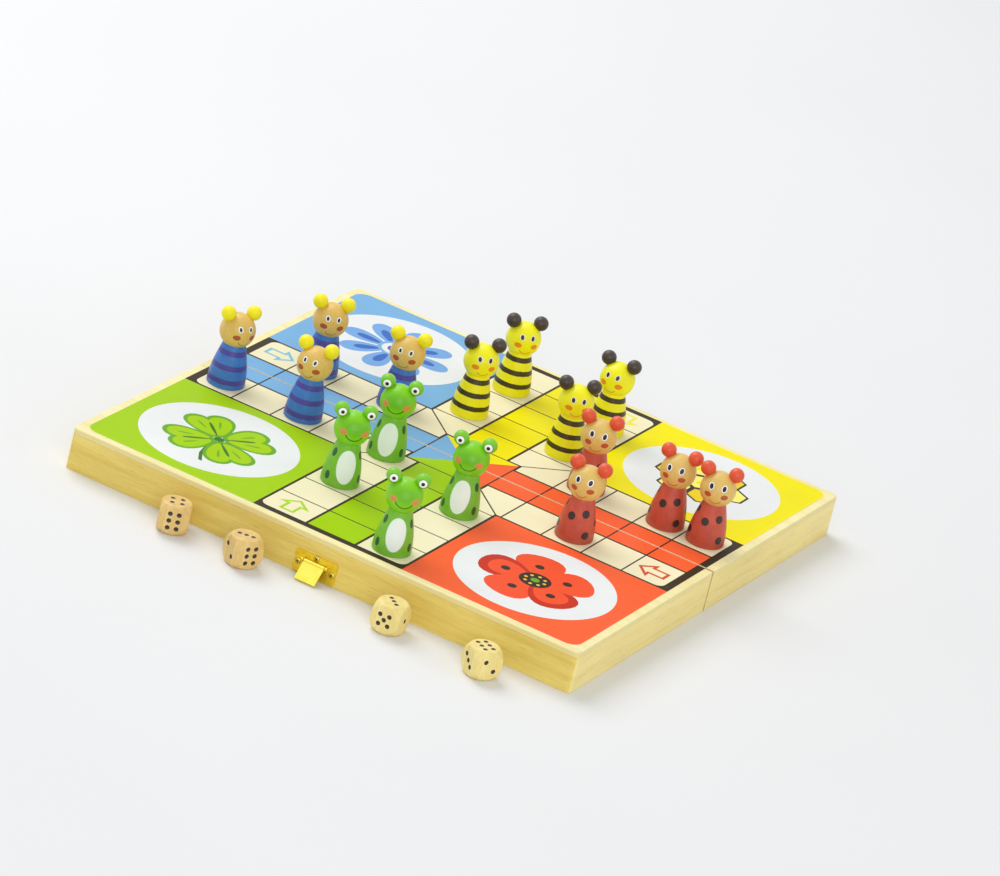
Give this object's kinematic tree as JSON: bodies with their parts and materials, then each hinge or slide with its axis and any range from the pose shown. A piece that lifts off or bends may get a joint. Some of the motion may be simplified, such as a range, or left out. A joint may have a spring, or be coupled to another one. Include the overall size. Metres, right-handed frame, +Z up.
{
  "type": "folding wooden board game box",
  "caption": "Square wooden board for a race game that folds into a flat latched box, printed with coloured lanes, with turned animal pawns and pipped dice.",
  "frame": {"origin": "middle of the fold line, on the plane of the two halves' rims, where the open board rests on a table", "axes": "+X along the fold, +Y from the latch wall to the rear wall, +Z up through the printed side of the open board"},
  "size_m": [0.3, 0.3326, 0.0685],
  "materials": {
    "plywood": "satin",
    "wood_wall": "satin",
    "printed_sheet": "gloss",
    "brass": "polished",
    "brass_screw": "polished",
    "steel_pin": "satin",
    "paint_blue": "gloss",
    "paint_green": "gloss",
    "paint_yellow": "gloss",
    "paint_red": "gloss",
    "wood_die": "satin"
  },
  "bodies": {
    "front_half": {"panel_front": "plywood", "print_front": "printed_sheet", "rail_front_outer": "wood_wall", "rail_front_inner": "wood_wall", "rail_front_left": "wood_wall", "rail_front_right": "wood_wall", "leaf_front_left": "brass", "leaf_front_right": "brass", "hinge_pin_left": "steel_pin", "hinge_pin_right": "steel_pin", "hinge_screws_front": "brass_screw", "latch_plate": "brass", "latch_pin": "steel_pin", "latch_screws": "brass_screw"},
    "rear_half": {"panel_rear": "plywood", "print_rear": "printed_sheet", "rail_rear_outer": "wood_wall", "rail_rear_inner": "wood_wall", "rail_rear_left": "wood_wall", "rail_rear_right": "wood_wall", "leaf_rear_left": "brass", "leaf_rear_right": "brass", "hinge_screws_rear": "brass_screw", "catch_plate": "brass", "catch_screws": "brass_screw"},
    "latch_flap": {"latch_flap": "brass"},
    "mouse_1": {"mouse_1": "paint_blue"},
    "mouse_2": {"mouse_2": "paint_blue"},
    "mouse_3": {"mouse_3": "paint_blue"},
    "mouse_4": {"mouse_4": "paint_blue"},
    "frog_1": {"frog_1": "paint_green"},
    "frog_2": {"frog_2": "paint_green"},
    "frog_3": {"frog_3": "paint_green"},
    "frog_4": {"frog_4": "paint_green"},
    "bee_1": {"bee_1": "paint_yellow"},
    "bee_2": {"bee_2": "paint_yellow"},
    "bee_3": {"bee_3": "paint_yellow"},
    "bee_4": {"bee_4": "paint_yellow"},
    "beetle_1": {"beetle_1": "paint_red"},
    "beetle_2": {"beetle_2": "paint_red"},
    "beetle_3": {"beetle_3": "paint_red"},
    "beetle_4": {"beetle_4": "paint_red"},
    "die_1": {"die_1": "wood_die"},
    "die_2": {"die_2": "wood_die"},
    "die_3": {"die_3": "wood_die"},
    "die_4": {"die_4": "wood_die"}
  },
  "joints": [
    {"name": "fold", "type": "hinge", "parent": "front_half", "child": "rear_half", "pos_m": [0, 0, -0.00015], "axis": [-1, 0, 0], "range_deg": [0, 180]},
    {"name": "latch", "type": "hinge", "parent": "front_half", "child": "latch_flap", "pos_m": [0, -0.15215, 0.0089], "axis": [-1, 0, 0], "range_deg": [-42.04, 100]},
    {"name": "lift_mouse_1", "type": "slide", "parent": "front_half", "child": "mouse_1", "axis": [0, 0, 1], "range_m": [0, 0.06]},
    {"name": "lift_mouse_2", "type": "slide", "parent": "rear_half", "child": "mouse_2", "axis": [0, 0, 1], "range_m": [0, 0.06]},
    {"name": "lift_mouse_3", "type": "slide", "parent": "front_half", "child": "mouse_3", "axis": [0, 0, 1], "range_m": [0, 0.06]},
    {"name": "lift_mouse_4", "type": "slide", "parent": "rear_half", "child": "mouse_4", "axis": [0, 0, 1], "range_m": [0, 0.06]},
    {"name": "lift_frog_1", "type": "slide", "parent": "front_half", "child": "frog_1", "axis": [0, 0, 1], "range_m": [0, 0.06]},
    {"name": "lift_frog_2", "type": "slide", "parent": "front_half", "child": "frog_2", "axis": [0, 0, 1], "range_m": [0, 0.06]},
    {"name": "lift_frog_3", "type": "slide", "parent": "front_half", "child": "frog_3", "axis": [0, 0, 1], "range_m": [0, 0.06]},
    {"name": "lift_frog_4", "type": "slide", "parent": "front_half", "child": "frog_4", "axis": [0, 0, 1], "range_m": [0, 0.06]},
    {"name": "lift_bee_1", "type": "slide", "parent": "rear_half", "child": "bee_1", "axis": [0, 0, 1], "range_m": [0, 0.06]},
    {"name": "lift_bee_2", "type": "slide", "parent": "rear_half", "child": "bee_2", "axis": [0, 0, 1], "range_m": [0, 0.06]},
    {"name": "lift_bee_3", "type": "slide", "parent": "rear_half", "child": "bee_3", "axis": [0, 0, 1], "range_m": [0, 0.06]},
    {"name": "lift_bee_4", "type": "slide", "parent": "rear_half", "child": "bee_4", "axis": [0, 0, 1], "range_m": [0, 0.06]},
    {"name": "lift_beetle_1", "type": "slide", "parent": "rear_half", "child": "beetle_1", "axis": [0, 0, 1], "range_m": [0, 0.06]},
    {"name": "lift_beetle_2", "type": "slide", "parent": "front_half", "child": "beetle_2", "axis": [0, 0, 1], "range_m": [0, 0.06]},
    {"name": "lift_beetle_3", "type": "slide", "parent": "rear_half", "child": "beetle_3", "axis": [0, 0, 1], "range_m": [0, 0.06]},
    {"name": "lift_beetle_4", "type": "slide", "parent": "rear_half", "child": "beetle_4", "axis": [0, 0, 1], "range_m": [0, 0.06]},
    {"name": "lift_die_1", "type": "slide", "parent": "front_half", "child": "die_1", "axis": [0, 0, 1], "range_m": [0, 0.05]},
    {"name": "lift_die_2", "type": "slide", "parent": "front_half", "child": "die_2", "axis": [0, 0, 1], "range_m": [0, 0.05]},
    {"name": "lift_die_3", "type": "slide", "parent": "front_half", "child": "die_3", "axis": [0, 0, 1], "range_m": [0, 0.05]},
    {"name": "lift_die_4", "type": "slide", "parent": "front_half", "child": "die_4", "axis": [0, 0, 1], "range_m": [0, 0.05]}
  ]
}
